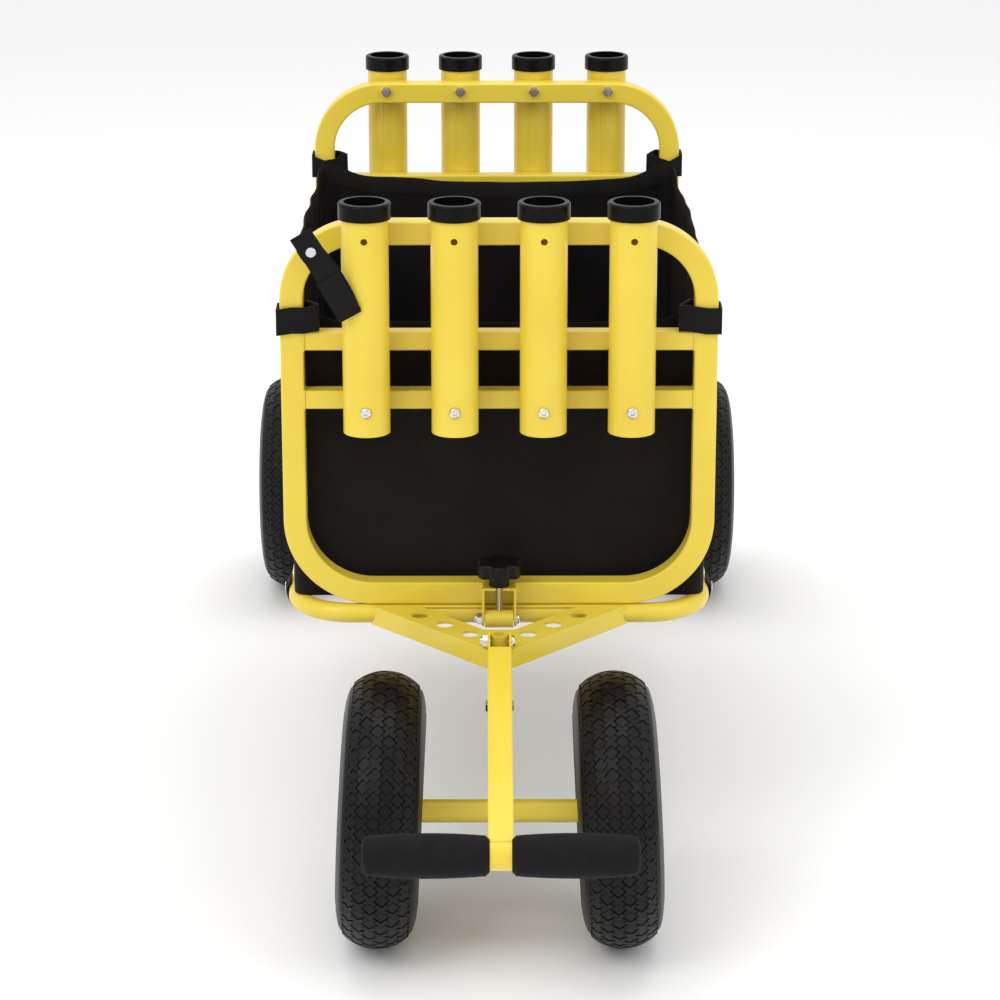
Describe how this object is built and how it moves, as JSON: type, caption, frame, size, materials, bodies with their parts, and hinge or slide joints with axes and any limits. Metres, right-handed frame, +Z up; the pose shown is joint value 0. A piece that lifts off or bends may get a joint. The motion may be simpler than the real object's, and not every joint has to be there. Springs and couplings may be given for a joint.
{
  "type": "beach cart",
  "caption": "Four-wheeled beach cart with an open fabric basket between two tube end frames, round rod holders on both ends and a pull handle that steers.",
  "frame": {"origin": "on the floor, under the middle of the cart's bounding box", "axes": "+Z up, +Y towards the rear wheels, the pull handle points along -Y"},
  "size_m": [0.5706, 1.5104, 0.6888],
  "materials": {
    "yellow": "semi-gloss powder coat",
    "zinc": "bright zinc plate",
    "tyre": "matt",
    "cap_rubber": "gloss",
    "foam": "matt foam",
    "knob_plastic": "satin",
    "liner_fabric": "coated polyester",
    "webbing": "woven webbing"
  },
  "bodies": {
    "chassis": {"chassis_ring": "yellow", "floor_cross_tubes": "yellow", "drawbar_plate": "yellow", "steering_sleeve": "yellow", "hinge_knuckles": "yellow", "axle_legs": "yellow", "rear_axle_tube": "yellow", "rear_axle": "zinc", "rear_axle_nuts": "zinc", "liner": "liner_fabric", "floor_straps": "webbing", "floor_strap_snaps": "zinc"},
    "front_frame": {"front_frame_loop": "yellow", "front_crossbars": "yellow", "front_hinge_bracket": "yellow", "front_rod_tubes": "yellow", "front_rod_caps": "cap_rubber", "front_rod_bolts": "zinc", "front_frame_nuts": "zinc", "front_hinge_bolt": "zinc", "front_post_straps": "webbing", "handle_strap": "webbing", "handle_strap_snap": "zinc"},
    "rear_frame": {"rear_frame_loop": "yellow", "rear_crossbars": "yellow", "rear_hinge_bracket": "yellow", "rear_rod_tubes": "yellow", "rear_rod_caps": "cap_rubber", "rear_rod_bolts": "zinc", "rear_frame_nuts": "zinc", "rear_hinge_bolt": "zinc", "rear_post_straps": "webbing"},
    "front_stud": {"front_clamp_stud": "zinc"},
    "front_knob": {"front_star_knob": "knob_plastic"},
    "rear_stud": {"rear_clamp_stud": "zinc"},
    "rear_knob": {"rear_star_knob": "knob_plastic"},
    "steering": {"steering_post": "yellow", "steering_collar": "zinc", "front_axle_tube": "yellow", "front_axle_stubs": "zinc", "front_axle_nuts": "zinc"},
    "handle": {"handle_tube": "yellow", "handle_crossbar": "yellow", "left_grip": "foam", "right_grip": "foam", "pivot_bolt": "zinc", "pivot_nut": "zinc"},
    "front_left_wheel": {"front_left_tyre": "tyre", "front_left_rim": "yellow", "front_left_wheel_fittings": "zinc"},
    "front_right_wheel": {"front_right_tyre": "tyre", "front_right_rim": "yellow", "front_right_wheel_fittings": "zinc"},
    "rear_left_wheel": {"rear_left_tyre": "tyre", "rear_left_rim": "yellow", "rear_left_wheel_fittings": "zinc"},
    "rear_right_wheel": {"rear_right_tyre": "tyre", "rear_right_rim": "yellow", "rear_right_wheel_fittings": "zinc"}
  },
  "joints": [
    {"name": "steering_turn", "type": "hinge", "parent": "chassis", "child": "steering", "pos_m": [0, -0.39977, 0.26], "axis": [0, 0, 1], "range_deg": [-45, 45]},
    {"name": "handle_pitch", "type": "hinge", "parent": "steering", "child": "handle", "pos_m": [0, -0.39977, 0.2974], "axis": [-1, 0, 0], "range_deg": [0, 95]},
    {"name": "front_frame_fold", "type": "hinge", "parent": "chassis", "child": "front_frame", "pos_m": [0, -0.28677, 0.279], "axis": [1, 0, 0], "range_deg": [0, 53]},
    {"name": "rear_frame_fold", "type": "hinge", "parent": "chassis", "child": "rear_frame", "pos_m": [0, 0.44373, 0.279], "axis": [-1, 0, 0], "range_deg": [0, 75]},
    {"name": "front_stud_lift", "type": "slide", "parent": "front_frame", "child": "front_stud", "axis": [0, 0, 1], "range_m": [0, 0.003]},
    {"name": "front_knob_turn", "type": "hinge", "parent": "front_stud", "child": "front_knob", "pos_m": [0, -0.28677, 0.32], "axis": [0, 0, 1], "range_deg": [0, 1080]},
    {"name": "rear_stud_lift", "type": "slide", "parent": "rear_frame", "child": "rear_stud", "axis": [0, 0, 1], "range_m": [0, 0.003]},
    {"name": "rear_knob_turn", "type": "hinge", "parent": "rear_stud", "child": "rear_knob", "pos_m": [0, 0.44373, 0.32], "axis": [0, 0, 1], "range_deg": [0, 1080]},
    {"name": "front_left_wheel_spin", "type": "hinge", "parent": "steering", "child": "front_left_wheel", "pos_m": [-0.111, -0.39977, 0.1299], "axis": [-0.9988, 0, 0.0488], "continuous": true},
    {"name": "rear_left_wheel_spin", "type": "hinge", "parent": "chassis", "child": "rear_left_wheel", "pos_m": [-0.247, 0.62523, 0.13], "axis": [-1, 0, 0], "continuous": true},
    {"name": "front_right_wheel_spin", "type": "hinge", "parent": "steering", "child": "front_right_wheel", "pos_m": [0.111, -0.39977, 0.1299], "axis": [0.9988, 0, 0.0488], "continuous": true},
    {"name": "rear_right_wheel_spin", "type": "hinge", "parent": "chassis", "child": "rear_right_wheel", "pos_m": [0.247, 0.62523, 0.13], "axis": [1, 0, 0], "continuous": true}
  ],
  "couplings": [
    {"joint": "front_stud_lift", "follows": "front_knob_turn", "m_per_rad": 0.00015915},
    {"joint": "rear_stud_lift", "follows": "rear_knob_turn", "m_per_rad": 0.00015915}
  ]
}
